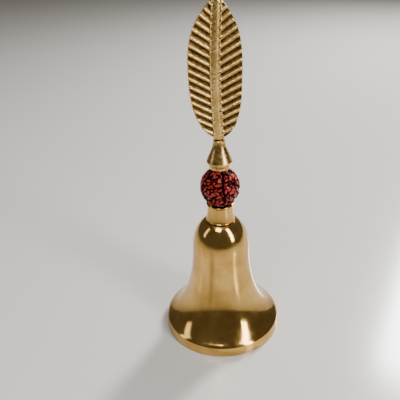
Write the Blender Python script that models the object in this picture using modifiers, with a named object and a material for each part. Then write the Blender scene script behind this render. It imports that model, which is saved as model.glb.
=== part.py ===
"""Brass hand bell for puja: a turned bell, a neck collar, a rudraksha bead, a cast ferrule and a leaf
handle threaded on one eye bolt, with a clapper that hangs from the eye on a wire link.

Metres, +Z up. The origin is the centre of the mouth, in the plane that the lip stands on.
The leaf's front faces -Y.
"""
import math

import bmesh
import bpy

# --- clearances -----------------------------------------------------------------------------------
GAP = 0.0003                   # between pieces that touch
WIRE_CLEARANCE = 0.00035       # between the wires of two rings that swing on each other

# --- bell -----------------------------------------------------------------------------------------
LIP_RADIUS = 0.0310            # outside of the mouth
LIP_THICKNESS = 0.0024
LIP_EDGE_RADIUS = 0.0005       # rounding of the lip's outer lower edge
RIM_BAND_HEIGHT = 0.0050       # plain band above the lip
RIM_BAND_DRAFT = 0.0010        # how much the band narrows on its way up
BELL_HEIGHT = 0.0642           # lip to the seat of the collar
SHOULDER_HEIGHT = 0.0150       # from the top of the waist up to the seat
WAIST_RADIUS = 0.0147          # outside, at the top of the waist
WAIST_WALL = 0.0019
CROWN_THICKNESS = 0.0033
SEAT_LEDGE = 0.0002            # bell that shows around the collar's foot

# --- neck collar ----------------------------------------------------------------------------------
COLLAR_FOOT_RADIUS = 0.0074
COLLAR_FOOT_HEIGHT = 0.0006
COLLAR_NECK_RADIUS = 0.0064    # narrowest, just under the cup
COLLAR_HEIGHT = 0.0094
CUP_DEPTH = 0.0014
CUP_WALL = 0.0007              # thickness of the cup's lip
CUP_LIP_HEIGHT = 0.0006
CUP_CLEARANCE = 0.0013         # between the bead and the cup's lip

# --- rudraksha bead -------------------------------------------------------------------------------
BEAD_RADIUS = 0.0098
BEAD_HALF_HEIGHT = 0.0102

# --- ferrule --------------------------------------------------------------------------------------
FERRULE_HEIGHT = 0.0141
FERRULE_BASE_RADIUS = 0.0050
FERRULE_BELLY_RADIUS = 0.0062
FERRULE_BELLY_RISE = 0.0037    # height of the widest edge above the ferrule's base
FERRULE_TOP_RADIUS = 0.0028
FERRULE_WEB = 0.0015           # solid metal between the thread and the tang's socket

# --- leaf handle ----------------------------------------------------------------------------------
LEAF_LENGTH = 0.0624
LEAF_HALF_WIDTH = 0.0118
LEAF_WIDEST = 0.0268           # height of the widest place above the foot of the leaf
LEAF_THICKNESS = 0.0018
LEAF_BOW = 0.0013              # sideways bow of the midrib at the middle
BLADE_START = 0.0004           # foot of the leaf to the bottom of the blade
FOOT_SWELL = 0.78              # curve handle at the foot: share of the half width outward
FOOT_RISE = 0.06               # and share of the lower length upward
LOWER_FULLNESS = 0.42          # curve handle below the widest place: share of the lower length
UPPER_FULLNESS = 0.28          # curve handle above the widest place: share of the upper length
TIP_SWELL = 1.15               # curve handle at the tip: share of the half width outward
TIP_DROP = 0.31                # and share of the upper length downward
MIDRIB_HALF_WIDTH = 0.0022
MIDRIB_HALF_THICKNESS = 0.0016
MIDRIB_TIP_TAPER = 0.9         # share of its section that the midrib loses at the tip
MIDRIB_TIP_POWER = 12          # how late along the leaf it tapers
TANG_RADIUS = 0.0014
TANG_ROOT = 0.0020             # how far the tang runs up inside the midrib

# --- eye bolt, washer and nut ---------------------------------------------------------------------
BOLT_RADIUS = 0.0020
THREAD_ENGAGEMENT = 0.0065     # bolt inside the ferrule
EYE_RING_RADIUS = 0.0026       # centre line of the eye
EYE_WIRE_RADIUS = 0.0010
EYE_NECK = 0.0015              # shank between the nut and the eye
WASHER_RADIUS = 0.0050
WASHER_THICKNESS = 0.0008
WASHER_MARGIN = 0.0012         # flat crown around the washer
NUT_WIDTH = 0.0070             # across flats
NUT_HEIGHT = 0.0032

# --- clapper --------------------------------------------------------------------------------------
LINK_WIRE_RADIUS = 0.0008
LINK_LEG = 0.0040              # straight part of the link
STEM_RADIUS = 0.0008
BOB_RADIUS = 0.0050
BOB_LIP_CLEARANCE = 0.0028     # bottom of the bob above the lip
BOB_NECK_RADIUS = 0.0020
BOB_NECK_RISE = 0.0085         # top of the bob's neck above the ball's centre
BOB_SHOULDER_ANGLE = 50        # degrees above the ball's equator where the neck begins
BOB_TAIL_RADIUS = 0.0013
BOB_TAIL_DROP = 0.0006         # button below the ball

# --- smoothness -----------------------------------------------------------------------------------
BELL_STEPS = 56
TURNED_STEPS = 36
SMALL_STEPS = 24
CURVE_POINTS = 10              # on each long curve of a profile
SHORT_CURVE_POINTS = 4
WIRE_SIDES = 8
RING_STEPS = 24
MIDRIB_POINTS = 12
MERGE_DISTANCE = 0.00001
SHARP_ANGLE = math.radians(35)

# --- stack of heights, from the lip up ------------------------------------------------------------
bolt_hole_radius = BOLT_RADIUS + GAP
band_top_radius = LIP_RADIUS - RIM_BAND_DRAFT
lip_inner_radius = LIP_RADIUS - LIP_THICKNESS
seat_radius = COLLAR_FOOT_RADIUS + SEAT_LEDGE
waist_top = BELL_HEIGHT - SHOULDER_HEIGHT
crown_underside = BELL_HEIGHT - CROWN_THICKNESS

collar_bottom = BELL_HEIGHT + GAP
collar_top = collar_bottom + COLLAR_HEIGHT
cup_floor = collar_top - CUP_DEPTH


def bead_height_at(radius):
    """Height of the bead's surface above its centre, at a distance from its axis."""
    return BEAD_HALF_HEIGHT * math.sqrt(1 - (radius / BEAD_RADIUS) ** 2)


bead_end = bead_height_at(bolt_hole_radius)
bead_centre = cup_floor + GAP + bead_end
bead_radius_at_cup_lip = BEAD_RADIUS * math.sqrt(1 - ((bead_centre - collar_top) / BEAD_HALF_HEIGHT) ** 2)
cup_inner_radius = bead_radius_at_cup_lip + CUP_CLEARANCE
cup_outer_radius = cup_inner_radius + CUP_WALL

ferrule_bottom = bead_centre + bead_end + GAP
ferrule_top = ferrule_bottom + FERRULE_HEIGHT
thread_top = ferrule_bottom + THREAD_ENGAGEMENT + GAP
socket_radius = TANG_RADIUS + GAP
socket_floor = thread_top + FERRULE_WEB

leaf_foot = ferrule_top + GAP
leaf_tip = leaf_foot + LEAF_LENGTH
tang_bottom = socket_floor + GAP

# --- stack of heights, from the crown down --------------------------------------------------------
washer_top = crown_underside - GAP
nut_top = washer_top - WASHER_THICKNESS - GAP
nut_bottom = nut_top - NUT_HEIGHT
eye_centre = nut_bottom - EYE_NECK - EYE_WIRE_RADIUS - EYE_RING_RADIUS
bolt_top = ferrule_bottom + THREAD_ENGAGEMENT

link_hinge = eye_centre - EYE_RING_RADIUS                     # middle of the eye's lowest wire
link_end_radius = EYE_WIRE_RADIUS + LINK_WIRE_RADIUS + WIRE_CLEARANCE
clapper_hinge = link_hinge - LINK_LEG - link_end_radius       # middle of the link's lowest wire
stem_ring_radius = LINK_WIRE_RADIUS + STEM_RADIUS + WIRE_CLEARANCE
bob_centre = BOB_LIP_CLEARANCE + BOB_TAIL_DROP + BOB_RADIUS
bob_bore_floor = bob_centre
bob_bore_radius = STEM_RADIUS + GAP


# --- helpers --------------------------------------------------------------------------------------
def new_collection(name):
    collection = bpy.data.collections.new(name)
    bpy.context.scene.collection.children.link(collection)
    return collection


def new_material(name, colour, roughness, metallic):
    material = bpy.data.materials.new(name)
    material.use_nodes = True
    shader = material.node_tree.nodes["Principled BSDF"]
    shader.inputs["Base Color"].default_value = (*colour, 1.0)
    shader.inputs["Roughness"].default_value = roughness
    shader.inputs["Metallic"].default_value = metallic
    return material


def place(obj, collection, material=None):
    """Link an object to one collection only and give it its material."""
    for owner in obj.users_collection:
        owner.objects.unlink(obj)
    collection.objects.link(obj)
    if material:
        obj.data.materials.clear()
        obj.data.materials.append(material)
    return obj


def as_cutter(obj):
    """Keep a helper out of the model: it is only there for a boolean."""
    obj.hide_render = True
    obj.display_type = "WIRE"
    return place(obj, cutters)


def cubic(start, start_handle, end_handle, end, count):
    """Points along a cubic curve, without its first point."""
    points = []
    for step in range(1, count + 1):
        t = step / count
        weights = ((1 - t) ** 3, 3 * t * (1 - t) ** 2, 3 * t ** 2 * (1 - t), t ** 3)
        corners = (start, start_handle, end_handle, end)
        points.append(tuple(sum(w * c[axis] for w, c in zip(weights, corners)) for axis in (0, 1)))
    return points


def arc(centre, radii, start, end, count):
    """Points along an arc, round or elliptical, with both its ends; angles in degrees."""
    points = []
    for step in range(count + 1):
        angle = math.radians(start + (end - start) * step / count)
        points.append((centre[0] + radii[0] * math.cos(angle), centre[1] + radii[1] * math.sin(angle)))
    return points


def shoulder_curve(top, bottom):
    """Dome from the seat out to the waist: nearly a straight slope above, round below."""
    reach = bottom[0] - top[0]
    drop = top[1] - bottom[1]
    upper_handle = (top[0] + 0.37 * reach, top[1] - 0.11 * drop)
    lower_handle = (bottom[0] - 0.07 * reach, bottom[1] + 0.57 * drop)
    return cubic(top, upper_handle, lower_handle, bottom, CURVE_POINTS)


def flare_curve(top, bottom):
    """Waist down to the mouth: almost upright above, sweeping out below."""
    reach = bottom[0] - top[0]
    drop = top[1] - bottom[1]
    upper_handle = (top[0] + 0.013 * reach, top[1] - 0.416 * drop)
    lower_handle = (top[0] + 0.268 * reach, bottom[1] + 0.18 * drop)
    return cubic(top, upper_handle, lower_handle, bottom, CURVE_POINTS)


def turned(name, profile, material, steps, closed):
    """Turn a profile of (radius, height) points about the Z axis."""
    mesh = bpy.data.meshes.new(name)
    work = bmesh.new()
    corners = [work.verts.new((radius, 0, height)) for radius, height in profile]
    for first, second in zip(corners, corners[1:]):
        work.edges.new((first, second))
    if closed:
        work.edges.new((corners[-1], corners[0]))
    work.to_mesh(mesh)
    work.free()
    obj = place(bpy.data.objects.new(name, mesh), parts, material)
    screw = obj.modifiers.new("turn", "SCREW")
    screw.steps = steps
    screw.render_steps = steps
    screw.use_merge_vertices = True
    screw.merge_threshold = MERGE_DISTANCE
    screw.use_smooth_shade = True
    return obj


def rod(name, radius, bottom, top, sides):
    """Round bar along the Z axis."""
    middle = (bottom + top) / 2
    bpy.ops.mesh.primitive_cylinder_add(vertices=sides, radius=radius, depth=top - bottom,
                                        location=(0, 0, middle))
    obj = bpy.context.object
    obj.name = name
    return obj


def ring(name, radius, wire_radius, height):
    """Wire ring standing in the XZ plane."""
    bpy.ops.mesh.primitive_torus_add(
        major_radius=radius, minor_radius=wire_radius, major_segments=RING_STEPS, minor_segments=WIRE_SIDES,
        location=(0, 0, height), rotation=(math.radians(90), 0, 0))
    obj = bpy.context.object
    obj.name = name
    return obj


def combine(obj, other, operation):
    """Join another mesh to an object, or cut it away."""
    boolean = obj.modifiers.new(other.name, "BOOLEAN")
    boolean.operation = operation
    boolean.solver = "EXACT"
    boolean.object = as_cutter(other)


def curve_to_mesh(obj):
    """Swap a curve for the closed mesh of its surface."""
    bpy.context.view_layer.update()
    evaluated = obj.evaluated_get(bpy.context.evaluated_depsgraph_get())
    mesh = bpy.data.meshes.new_from_object(evaluated)
    work = bmesh.new()
    work.from_mesh(mesh)
    bmesh.ops.remove_doubles(work, verts=work.verts, dist=MERGE_DISTANCE)
    work.to_mesh(mesh)
    work.free()
    solid = bpy.data.objects.new(obj.name, mesh)
    solid.matrix_world = obj.matrix_world
    place(solid, parts)
    curve = obj.data
    bpy.data.objects.remove(obj)
    bpy.data.curves.remove(curve)
    solid.name = mesh.name = evaluated_name(solid.name)
    return solid


def evaluated_name(name):
    """Name without the number that Blender adds to a second object."""
    return name.split(".")[0]


def shade_round(obj):
    obj.data.shade_smooth()
    obj.data.set_sharp_from_angle(angle=SHARP_ANGLE)


def set_origin(obj, height):
    """Move an object's origin to a point on the Z axis, and leave its shape where it is."""
    bpy.context.view_layer.update()
    for vertex in obj.data.vertices:
        vertex.co = obj.matrix_world @ vertex.co
        vertex.co.z -= height
    obj.rotation_euler = (0, 0, 0)
    obj.location = (0, 0, height)


# --- pieces ---------------------------------------------------------------------------------------
def make_bell():
    outer = [(bolt_hole_radius, BELL_HEIGHT), (seat_radius, BELL_HEIGHT)]
    outer += shoulder_curve((seat_radius, BELL_HEIGHT), (WAIST_RADIUS, waist_top))
    outer += flare_curve((WAIST_RADIUS, waist_top), (band_top_radius, RIM_BAND_HEIGHT))
    edge_centre = (LIP_RADIUS - LIP_EDGE_RADIUS, LIP_EDGE_RADIUS)
    outer += arc(edge_centre, (LIP_EDGE_RADIUS, LIP_EDGE_RADIUS), 0, -90, SHORT_CURVE_POINTS)

    crown_flat_radius = WASHER_RADIUS + WASHER_MARGIN
    waist_inner_radius = WAIST_RADIUS - WAIST_WALL
    downward = [(crown_flat_radius, crown_underside)]
    downward += shoulder_curve(downward[0], (waist_inner_radius, waist_top))
    downward += flare_curve((waist_inner_radius, waist_top), (lip_inner_radius, 0))
    inner = downward[::-1] + [(bolt_hole_radius, crown_underside)]
    return turned("bell_body", outer + inner, brass_polished, BELL_STEPS, closed=True)


def make_collar():
    lip_top = arc((cup_outer_radius - CUP_WALL / 2, collar_top - CUP_WALL / 2), (CUP_WALL / 2, CUP_WALL / 2),
                  180, 0, SHORT_CURVE_POINTS)
    lip_bottom = collar_top - CUP_WALL / 2 - CUP_LIP_HEIGHT
    neck_top = (COLLAR_NECK_RADIUS, lip_bottom - (cup_outer_radius - COLLAR_NECK_RADIUS))
    foot_top = (COLLAR_FOOT_RADIUS, collar_bottom + COLLAR_FOOT_HEIGHT)
    neck_drop = neck_top[1] - foot_top[1]
    side = cubic(neck_top, (COLLAR_NECK_RADIUS, neck_top[1] - neck_drop / 2),
                 (foot_top[0] - (foot_top[0] - neck_top[0]) / 2, foot_top[1] + neck_drop / 5),
                 foot_top, CURVE_POINTS)
    profile = lip_top + [(cup_outer_radius, lip_bottom), neck_top] + side
    profile += [(COLLAR_FOOT_RADIUS, collar_bottom), (bolt_hole_radius, collar_bottom)]
    cup_floor_radius = cup_inner_radius - CUP_DEPTH
    profile += [(bolt_hole_radius, cup_floor), (cup_floor_radius, cup_floor)]
    return turned("neck_collar", profile, brass_polished, TURNED_STEPS, closed=True)


def make_bead():
    end_angle = math.degrees(math.acos(bolt_hole_radius / BEAD_RADIUS))
    profile = arc((0, bead_centre), (BEAD_RADIUS, BEAD_HALF_HEIGHT), end_angle, -end_angle, 2 * CURVE_POINTS)
    return turned("rudraksha_bead", profile, bead_red, TURNED_STEPS, closed=True)


def make_ferrule():
    belly = (FERRULE_BELLY_RADIUS, ferrule_bottom + FERRULE_BELLY_RISE)
    top = (FERRULE_TOP_RADIUS, ferrule_top)
    cone_height = top[1] - belly[1]
    cone = cubic(top, (top[0], top[1] - cone_height / 3),
                 (belly[0] - (belly[0] - top[0]) / 3, belly[1] + cone_height / 3), belly, CURVE_POINTS)
    base = (FERRULE_BASE_RADIUS, ferrule_bottom)
    under = cubic(belly, (belly[0], belly[1] - FERRULE_BELLY_RISE / 3),
                  (base[0], base[1] + FERRULE_BELLY_RISE / 3), base, SHORT_CURVE_POINTS)
    socket = [(0, socket_floor), (socket_radius, socket_floor), (socket_radius, ferrule_top), top]
    thread = [(bolt_hole_radius, ferrule_bottom), (bolt_hole_radius, thread_top), (0, thread_top)]
    return turned("taper_ferrule", socket + cone + under + thread, brass_cast, TURNED_STEPS, closed=False)


def leaf_bow_at(height):
    """Sideways offset of the leaf's middle line: nothing at the foot and the tip, most in the middle."""
    share = (height - leaf_foot) / LEAF_LENGTH
    return -LEAF_BOW * math.sin(math.pi * share)


def make_leaf_blade():
    """Flat blade, as a filled outline through its foot, its widest places and its tip."""
    blade_bottom = leaf_foot + BLADE_START
    widest = leaf_foot + LEAF_WIDEST
    lower_length = widest - blade_bottom
    upper_length = leaf_tip - widest
    bow = leaf_bow_at(widest)
    curve = bpy.data.curves.new("leaf_blade", "CURVE")
    curve.dimensions = "2D"
    curve.fill_mode = "BOTH"
    curve.extrude = LEAF_THICKNESS / 2
    curve.resolution_u = CURVE_POINTS
    spline = curve.splines.new("BEZIER")
    spline.bezier_points.add(3)
    spline.use_cyclic_u = True
    side = LEAF_HALF_WIDTH
    side_down = widest - LOWER_FULLNESS * lower_length
    side_up = widest + UPPER_FULLNESS * upper_length
    foot_reach, foot_handle = FOOT_SWELL * side, blade_bottom + FOOT_RISE * lower_length
    tip_reach, tip_handle = TIP_SWELL * side, leaf_tip - TIP_DROP * upper_length
    corners = (
        ((0, blade_bottom), (foot_reach, foot_handle), (-foot_reach, foot_handle)),
        ((bow - side, widest), (bow - side, side_down), (bow - side, side_up)),
        ((0, leaf_tip), (bow - tip_reach, tip_handle), (bow + tip_reach, tip_handle)),
        ((bow + side, widest), (bow + side, side_up), (bow + side, side_down)),
    )
    for point, (place_at, handle_in, handle_out) in zip(spline.bezier_points, corners):
        point.handle_left_type = "FREE"
        point.handle_right_type = "FREE"
        point.co = (*place_at, 0)
        point.handle_left = (*handle_in, 0)
        point.handle_right = (*handle_out, 0)
    blade = place(bpy.data.objects.new("leaf_handle", curve), parts)
    blade.rotation_euler = (math.radians(90), 0, 0)
    return curve_to_mesh(blade)


def make_midrib():
    """Bar down the middle of the leaf, an ellipse in section, that narrows at the tip."""
    curve = bpy.data.curves.new("midrib", "CURVE")
    curve.dimensions = "3D"
    curve.bevel_depth = MIDRIB_HALF_WIDTH
    curve.bevel_resolution = 4
    curve.use_fill_caps = True
    spline = curve.splines.new("POLY")
    spline.points.add(MIDRIB_POINTS - 1)
    bottom = leaf_foot
    top = leaf_tip - MIDRIB_HALF_WIDTH / 2
    for index, point in enumerate(spline.points):
        share = index / (MIDRIB_POINTS - 1)
        height = bottom + (top - bottom) * share
        point.co = (leaf_bow_at(height), 0, height, 1)
        point.radius = math.sqrt(1 - MIDRIB_TIP_TAPER * share ** MIDRIB_TIP_POWER)
    midrib = place(bpy.data.objects.new("midrib", curve), parts)
    midrib.scale = (1, MIDRIB_HALF_THICKNESS / MIDRIB_HALF_WIDTH, 1)
    return curve_to_mesh(midrib)


def make_leaf():
    leaf = make_leaf_blade()
    combine(leaf, make_midrib(), "UNION")
    combine(leaf, rod("tang", TANG_RADIUS, tang_bottom, leaf_foot + TANG_ROOT, SMALL_STEPS), "UNION")
    leaf.data.materials.append(brass_leaf)
    return leaf


def make_eye_bolt():
    shank = rod("eye_bolt", BOLT_RADIUS, eye_centre + EYE_RING_RADIUS, bolt_top, SMALL_STEPS)
    bolt = place(shank, parts, steel)
    shade_round(bolt)
    combine(bolt, ring("eye", EYE_RING_RADIUS, EYE_WIRE_RADIUS, eye_centre), "UNION")
    return bolt


def make_washer():
    bottom = washer_top - WASHER_THICKNESS
    profile = [(bolt_hole_radius, washer_top), (WASHER_RADIUS, washer_top),
               (WASHER_RADIUS, bottom), (bolt_hole_radius, bottom)]
    return turned("crown_washer", profile, steel, SMALL_STEPS, closed=True)


def make_nut():
    circle_radius = NUT_WIDTH / math.sqrt(3)
    nut = place(rod("crown_nut", circle_radius, nut_bottom, nut_top, 6), parts, steel)
    bore = rod("nut_bore", bolt_hole_radius, nut_bottom - NUT_HEIGHT, nut_top + NUT_HEIGHT, SMALL_STEPS)
    combine(nut, bore, "DIFFERENCE")
    return nut


def make_link():
    """Long wire link in the YZ plane: two half rings joined by straight legs. It turns about the eye."""
    curve = bpy.data.curves.new("clapper_link", "CURVE")
    curve.dimensions = "3D"
    curve.bevel_depth = LINK_WIRE_RADIUS
    curve.bevel_resolution = 2
    half_ring = RING_STEPS // 2
    ends = (link_end_radius, link_end_radius)
    route = arc((0, 0), ends, 0, 180, half_ring) + arc((0, -LINK_LEG), ends, 180, 360, half_ring)
    spline = curve.splines.new("POLY")
    spline.points.add(len(route) - 1)
    spline.use_cyclic_u = True
    for point, (across, height) in zip(spline.points, route):
        point.co = (0, across, height, 1)
    link = place(bpy.data.objects.new("clapper_link", curve), parts)
    link.location = (0, 0, link_hinge)
    link = curve_to_mesh(link)
    shade_round(link)
    link.data.materials.append(brass_wire)
    return link


def make_stem():
    """Wire stem with a ring at its top, which turns about the link."""
    stem = place(ring("clapper_stem", stem_ring_radius, STEM_RADIUS, clapper_hinge), parts, brass_wire)
    set_origin(stem, clapper_hinge)
    shade_round(stem)
    shaft = rod("stem_shaft", STEM_RADIUS, bob_bore_floor + GAP, clapper_hinge - stem_ring_radius, WIRE_SIDES)
    combine(stem, shaft, "UNION")
    return stem


def make_bob():
    """Ball with a neck that takes the stem, and a small button below."""
    neck_top = bob_centre + BOB_NECK_RISE
    tail_bottom = bob_centre - BOB_RADIUS - BOB_TAIL_DROP
    ball_start = (BOB_RADIUS * math.cos(math.radians(BOB_SHOULDER_ANGLE)),
                  bob_centre + BOB_RADIUS * math.sin(math.radians(BOB_SHOULDER_ANGLE)))
    neck = (BOB_NECK_RADIUS, neck_top)
    sweep = cubic(neck, (BOB_NECK_RADIUS, neck_top - BOB_NECK_RISE / 4),
                  (ball_start[0] - BOB_RADIUS / 4, ball_start[1] + BOB_RADIUS / 4), ball_start,
                  CURVE_POINTS // 2)
    tail_angle = math.degrees(math.acos(BOB_TAIL_RADIUS / BOB_RADIUS))
    ball = arc((0, bob_centre), (BOB_RADIUS, BOB_RADIUS), BOB_SHOULDER_ANGLE, -tail_angle, CURVE_POINTS)
    profile = [(0, bob_bore_floor), (bob_bore_radius, bob_bore_floor), (bob_bore_radius, neck_top), neck]
    profile += sweep + ball[1:] + [(BOB_TAIL_RADIUS, tail_bottom), (0, tail_bottom)]
    moved = [(radius, height - clapper_hinge) for radius, height in profile]
    bob = turned("clapper_bob", moved, brass_cast, SMALL_STEPS, closed=False)
    bob.location = (0, 0, clapper_hinge)
    return bob


for old_object in list(bpy.data.objects):
    bpy.data.objects.remove(old_object)

parts = new_collection("brass_puja_bell")
cutters = new_collection("cutters")
cutters.hide_render = True

brass_polished = new_material("polished_brass", (0.80, 0.58, 0.22), 0.12, 1.0)
brass_cast = new_material("hand_finished_brass", (0.72, 0.53, 0.24), 0.32, 1.0)
brass_leaf = new_material("cast_leaf_brass", (0.70, 0.52, 0.22), 0.38, 1.0)
brass_wire = new_material("brass_wire", (0.66, 0.49, 0.22), 0.35, 1.0)
steel = new_material("zinc_plated_steel", (0.62, 0.62, 0.60), 0.35, 1.0)
bead_red = new_material("dyed_rudraksha", (0.22, 0.03, 0.03), 0.55, 0.0)

make_bell()
make_collar()
make_bead()
make_ferrule()
make_leaf()
make_eye_bolt()
make_washer()
make_nut()
make_link()
make_stem()
make_bob()
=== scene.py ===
"""Looks of a brass puja bell: turned bell and collar, rudraksha bead, filed ferrule, cast leaf handle,
and the clapper with its link, eye bolt, washer and nut inside.

Metres, +Z up. The leaf's front faces -Y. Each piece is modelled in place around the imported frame.
"""
import math
from collections import namedtuple

import bpy
from mathutils import Matrix, Vector, noise


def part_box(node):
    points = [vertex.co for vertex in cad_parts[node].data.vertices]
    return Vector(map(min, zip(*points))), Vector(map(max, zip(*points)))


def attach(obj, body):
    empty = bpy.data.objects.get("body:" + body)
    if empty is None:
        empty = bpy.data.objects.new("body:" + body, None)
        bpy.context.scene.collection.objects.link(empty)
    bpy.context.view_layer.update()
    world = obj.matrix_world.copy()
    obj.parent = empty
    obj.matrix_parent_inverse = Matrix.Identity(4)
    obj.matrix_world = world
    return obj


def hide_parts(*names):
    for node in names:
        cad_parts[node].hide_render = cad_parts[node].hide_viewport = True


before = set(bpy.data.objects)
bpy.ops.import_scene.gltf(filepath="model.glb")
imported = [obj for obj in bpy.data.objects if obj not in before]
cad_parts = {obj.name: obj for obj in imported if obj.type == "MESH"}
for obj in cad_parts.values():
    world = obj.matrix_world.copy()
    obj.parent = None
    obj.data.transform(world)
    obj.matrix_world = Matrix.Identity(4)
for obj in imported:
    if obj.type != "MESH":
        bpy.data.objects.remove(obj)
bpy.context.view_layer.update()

MM = 0.001
ORIGIN = (0, 0, 0)

# --- sizes that the frame gives -------------------------------------------------------------------
bell_low, bell_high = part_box("bell_body")
collar_low, collar_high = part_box("neck_collar")
bead_low, bead_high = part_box("rudraksha_bead")
ferrule_low, ferrule_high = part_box("taper_ferrule")
leaf_low, leaf_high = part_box("leaf_handle")
bolt_low, bolt_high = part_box("eye_bolt")
washer_low, washer_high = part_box("crown_washer")
nut_low, nut_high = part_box("crown_nut")
link_low, link_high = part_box("clapper_link")
stem_low, stem_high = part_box("clapper_stem")
bob_low, bob_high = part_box("clapper_bob")

# --- shape of the turned pieces, in metres --------------------------------------------------------
HOLE_RADIUS = 2.3 * MM            # clears the bolt through crown, collar and bead
LIP_THICKNESS = 2.4 * MM
LIP_EDGE_RADIUS = 0.6 * MM
BAND_HEIGHT = 5.0 * MM
BAND_DRAFT = 1.0 * MM
BAND_STEP = 0.3 * MM              # the band stands proud of the flare
SHOULDER_HEIGHT = 15.0 * MM
WAIST_RADIUS = 14.7 * MM
WAIST_WALL = 1.9 * MM
CROWN_THICKNESS = 3.3 * MM
SEAT_RADIUS = 7.9 * MM
CROWN_FLAT_RADIUS = 6.2 * MM
COLLAR_FOOT_HEIGHT = 0.6 * MM
COLLAR_NECK_RADIUS = 6.4 * MM
CUP_RADIUS = 6.93 * MM
CUP_WALL = 0.7 * MM
CUP_LIP_HEIGHT = 0.6 * MM
CUP_DEPTH = 1.4 * MM
CUP_CHAMFER = 0.1 * MM
FERRULE_BASE_RADIUS = 5.0 * MM
FERRULE_BELLY_RISE = 3.7 * MM
FERRULE_TOP_RADIUS = 2.8 * MM
FILED_EDGE = 0.15 * MM
SOCKET_DEPTH = 5.8 * MM
SOCKET_RADIUS = 1.7 * MM
THREAD_DEPTH = 6.8 * MM
BOB_RADIUS = 5.0 * MM
BOB_NECK_RADIUS = 2.0 * MM
BOB_TAIL_RADIUS = 1.3 * MM
BOB_TAIL_DROP = 0.6 * MM
BOB_BORE_RADIUS = 1.1 * MM
BOB_BORE_DEPTH = 8.5 * MM

# curve handles of the turned outlines, as shares of a curve's reach and of its height
SHOULDER_TOP = (0.37, 0.11)
SHOULDER_BOTTOM = (0.07, 0.57)
FLARE_TOP = (0.013, 0.416)
FLARE_BOTTOM = (0.268, 0.18)
COLLAR_FOOT_HANDLE = (0.4, 0.2)
COLLAR_NECK_HANDLE = 0.4
BOB_NECK_HANDLE = 1.15            # the bob's own are in ball radii, from the ball's centre
BOB_SHOULDER_HANDLE = (0.55, 1.0)
BOB_SHOULDER = (0.8, 0.6)         # where the neck runs into the ball
BOB_SHOULDER_ANGLE = 36           # about the same place, in degrees

# --- wires, bolt and nut --------------------------------------------------------------------------
BOLT_RADIUS = 2.0 * MM
THREAD_PITCH = 0.7 * MM
THREAD_CUT = 0.35 * MM
THREAD_START = 0.5                # in pitches above the shank's foot
THREAD_CREST = (0.42, 0.58)       # in pitches, where a ring is at full radius
EYE_RING_RADIUS = 2.6 * MM
EYE_WIRE_RADIUS = 1.0 * MM
LINK_WIRE_RADIUS = 0.8 * MM
LINK_RING_RADIUS = 2.15 * MM
STEM_RADIUS = 0.8 * MM
STEM_RING_RADIUS = 1.95 * MM
NUT_CHAMFER = 0.5 * MM
NUT_EDGE_RADIUS = 0.08 * MM
HEXAGON_TURN = math.radians(30)
BOLT_SLACK = 0.1 * MM

# --- leaf -----------------------------------------------------------------------------------------
LEAF_WIDEST = 26.8 * MM           # above the foot of the leaf
LEAF_BOW = 1.3 * MM
LEAF_GAP = 0.3 * MM               # between ferrule and leaf
# the outline's curve handles: swells are shares of the half width, the others of the length below or above
# the widest place
FOOT_SWELL = 0.78
FOOT_RISE = 0.06
LOWER_FULLNESS = 0.42
UPPER_FULLNESS = 0.28
TIP_SWELL = 1.15
TIP_DROP = 0.31
LOWER_POINTS = 40
UPPER_POINTS = 60
BLADE_START = 0.4 * MM
BLADE_THICKNESS = 0.9 * MM        # in the grooves between the veins
MIDRIB_SECTION = ((2.35, 0.0), (2.35, 0.85), (2.22, 1.12), (2.02, 1.20), (1.82, 1.10), (1.66, 0.82),
                  (1.46, 0.98), (1.20, 1.26), (0.80, 1.48), (0.40, 1.58), (0.0, 1.6))   # mm across, mm out
MIDRIB_FOOT_SIZE = 0.8            # the foot starts at this share of the section
MIDRIB_FOOT_RISE = 0.4 * MM       # and reaches full size this much higher
MIDRIB_STATIONS = 24
MIDRIB_TIP = ((2.2, 0.97), (1.4, 0.85), (0.8, 0.66), (0.35, 0.42), (0.1, 0.2))   # mm below the tip, size
TANG_RADIUS = 1.4 * MM
TANG_OVERLAP = 2.0 * MM           # up into the leaf
VEIN_PAIRS = 17
VEIN_SPACING = 3.45 * MM
VEIN_SECTION = ((-0.62, 0.0), (-0.50, 0.45), (-0.34, 0.90), (-0.12, 1.0), (0.12, 0.98), (0.34, 0.84),
                (0.58, 0.52), (0.90, 0.30), (1.15, 0.40), (1.35, 0.26), (2.10, 0.0))   # mm up, share of rise
VEIN_CREST = 1.3 * MM             # half thickness of the leaf at a vein's crest
VEIN_LENGTH = 17.0 * MM
VEIN_STAGGER = 0.3 * MM
VEIN_INSET = 0.35 * MM
VEIN_ROOT = 0.1 * MM              # sunk into the blade
VEIN_SLOPE = 26                   # degrees at the foot
VEIN_SLOPE_GAIN = 4               # degrees more at the tip, evenly along the leaf
VEIN_TIP_GAIN = 20                # degrees more at the tip, mostly in its last part
VEIN_TIP_POWER = 4
FIRST_VEIN = 1.6 * MM
LEAF_HALF_WIDTH = 11.8 * MM
EDGE_RADIUS = 0.95 * MM           # raised border
BORDER_WIDTH = 0.5 * MM
CAST_GRAIN = 0.185 * MM           # finest detail that the casting holds
CAST_WAVES = ((0.07, 0.55), (0.035, 1.9))   # mm deep, waves to a mm
CAST_SWAY = 0.05 * MM
CAST_SWAYS_PER_MM = 0.35
CAST_SWAY_OFFSET = Vector((5, 0, 0))
FACE_TOLERANCE = 0.1 * MM
leaf_foot = ferrule_high.z + LEAF_GAP

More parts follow.
